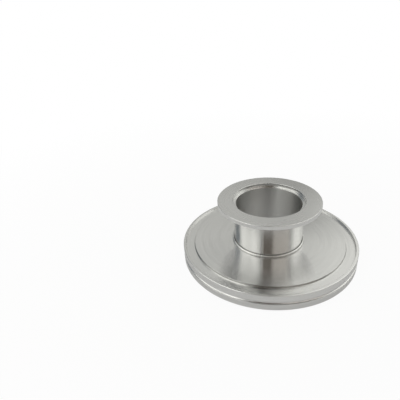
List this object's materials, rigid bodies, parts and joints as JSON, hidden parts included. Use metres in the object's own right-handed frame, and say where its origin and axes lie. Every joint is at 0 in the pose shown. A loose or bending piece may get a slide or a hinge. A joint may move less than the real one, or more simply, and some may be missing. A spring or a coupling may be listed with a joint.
{
  "type": "vacuum flange reducer",
  "caption": "Straight stainless reducer from a large claw-clamp vacuum flange to a small quick-clamp flange, joined by a short welded neck.",
  "frame": {"origin": "centre of the large flange's sealing face, which the part stands on", "axes": "+Z along the bore from the large flange to the small flange, X and Y free because the part is round"},
  "size_m": [0.13, 0.13, 0.045],
  "materials": {
    "turned_steel": "turned",
    "weld_steel": "as welded, wire brushed"
  },
  "bodies": {
    "root": {"large_flange": "turned_steel", "small_flange": "turned_steel", "weld_bead": "weld_steel"}
  },
  "joints": []
}
